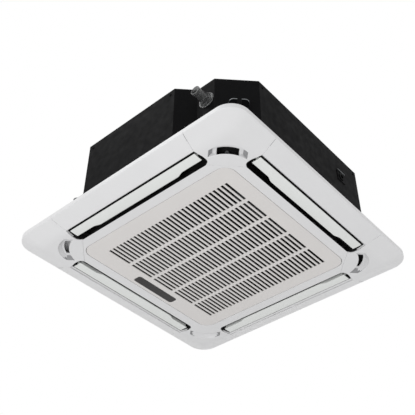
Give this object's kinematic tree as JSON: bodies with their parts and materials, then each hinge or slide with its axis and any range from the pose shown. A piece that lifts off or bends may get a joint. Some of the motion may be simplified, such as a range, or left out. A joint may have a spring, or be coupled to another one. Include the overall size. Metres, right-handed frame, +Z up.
{
  "type": "ceiling cassette air conditioner",
  "caption": "Square ceiling cassette air conditioner: slotted intake grille, outlet flap on each side, corner covers, and a black body with coil, fan and drain above the panel.",
  "frame": {"origin": "middle of the panel's lowest plane, which faces the room", "axes": "+Z up towards the ceiling void, -Y the front with the drain socket at its right end, +X the right side"},
  "size_m": [0.7, 0.7, 0.2903],
  "materials": {
    "panel_white": "smooth satin white",
    "grille_white": "smooth satin warm white",
    "flap_white": "smooth satin white",
    "window_dark": "glossy smoked",
    "casing_black": "satin black paint",
    "liner_foam": "closed-cell foam",
    "lug_steel": "zinc-plated, dull",
    "pan_foam": "moulded bead foam",
    "coil_fins": "close fins",
    "copper": "bare copper",
    "bell_black": "moulded black",
    "fan_plastic": "moulded dark grey",
    "motor_metal": "cast, dull",
    "plain_steel": "zinc-plated",
    "mount_rubber": "matt",
    "drain_clear": "cloudy translucent",
    "pump_plastic": "moulded off-white",
    "nut_brass": "machined",
    "box_metal": "zinc-coated sheet",
    "board_green": "coated board",
    "terminal_cream": "moulded cream",
    "filter_dark": "woven mesh in a frame"
  },
  "bodies": {
    "housing": {"casing_side": "casing_black", "casing_top": "casing_black", "pipe_cover_plate": "casing_black", "insulation_liner": "liner_foam", "panel_seal": "liner_foam", "wiring_inlet": "lug_steel", "hanger_lug_front_right": "lug_steel", "hanger_lug_rear_right": "lug_steel", "hanger_lug_rear_left": "lug_steel", "hanger_lug_front_left": "lug_steel", "drain_pan": "pan_foam", "coil": "coil_fins", "coil_end_plate_rear": "copper", "coil_end_plate_left": "copper", "gas_pipe": "copper", "liquid_pipe": "copper", "bell_mouth": "bell_black", "fan_motor": "motor_metal", "flap_motor_front": "motor_metal", "flap_motor_right": "motor_metal", "flap_motor_rear": "motor_metal", "flap_motor_left": "motor_metal", "motor_bracket": "plain_steel", "panel_bolt_front_right": "plain_steel", "panel_bolt_rear_right": "plain_steel", "panel_bolt_rear_left": "plain_steel", "panel_bolt_front_left": "plain_steel", "motor_mount_1": "mount_rubber", "motor_mount_2": "mount_rubber", "motor_mount_3": "mount_rubber", "drain_hose": "mount_rubber", "drain_outlet": "drain_clear", "drain_pump": "pump_plastic", "float_switch": "pump_plastic", "gas_flare_nut": "nut_brass", "liquid_flare_nut": "nut_brass", "control_box": "box_metal", "control_box_cover": "box_metal", "circuit_board": "board_green", "terminal_block": "terminal_cream", "panel_frame": "panel_white", "corner_cover_front_right": "panel_white", "corner_cover_rear_right": "panel_white", "corner_cover_rear_left": "panel_white", "corner_cover_front_left": "panel_white"},
    "fan": {"turbo_fan": "fan_plastic", "motor_shaft": "plain_steel", "fan_nut": "plain_steel"},
    "pump_rotor": {"pump_impeller": "pump_plastic"},
    "float": {"switch_float": "liner_foam"},
    "grille": {"intake_grille": "grille_white", "display_window": "window_dark", "display_board": "board_green", "air_filter": "filter_dark"},
    "catch_front": {"grille_catch_front": "grille_white"},
    "catch_rear": {"grille_catch_rear": "grille_white"},
    "flap_front_body": {"flap_front": "flap_white"},
    "flap_right_body": {"flap_right": "flap_white"},
    "flap_rear_body": {"flap_rear": "flap_white"},
    "flap_left_body": {"flap_left": "flap_white"}
  },
  "joints": [
    {"name": "flap_front_swing", "type": "hinge", "parent": "housing", "child": "flap_front_body", "pos_m": [0, -0.286, 0.014], "axis": [1, 0, 0], "range_deg": [0, 60]},
    {"name": "flap_right_swing", "type": "hinge", "parent": "housing", "child": "flap_right_body", "pos_m": [0.286, 0, 0.014], "axis": [0, 1, 0], "range_deg": [0, 60]},
    {"name": "flap_rear_swing", "type": "hinge", "parent": "housing", "child": "flap_rear_body", "pos_m": [0, 0.286, 0.014], "axis": [-1, 0, 0], "range_deg": [0, 60]},
    {"name": "flap_left_swing", "type": "hinge", "parent": "housing", "child": "flap_left_body", "pos_m": [-0.286, 0, 0.014], "axis": [0, -1, 0], "range_deg": [0, 60]},
    {"name": "grille_hinge", "type": "hinge", "parent": "housing", "child": "grille", "pos_m": [-0.203, 0, 0.005], "axis": [0, 1, 0], "range_deg": [0, 90]},
    {"name": "grille_catch_front_slide", "type": "slide", "parent": "grille", "child": "catch_front", "axis": [1, 0, 0], "range_m": [0, 0.0035]},
    {"name": "grille_catch_rear_slide", "type": "slide", "parent": "grille", "child": "catch_rear", "axis": [1, 0, 0], "range_m": [0, 0.0035]},
    {"name": "fan_spin", "type": "hinge", "parent": "housing", "child": "fan", "pos_m": [0, 0, 0.15], "axis": [0, 0, 1], "continuous": true},
    {"name": "pump_spin", "type": "hinge", "parent": "housing", "child": "pump_rotor", "pos_m": [0.1959, -0.2128, 0.06], "axis": [0, 0, 1], "continuous": true},
    {"name": "float_rise", "type": "slide", "parent": "housing", "child": "float", "axis": [0, 0, 1], "range_m": [0, 0.012]}
  ]
}
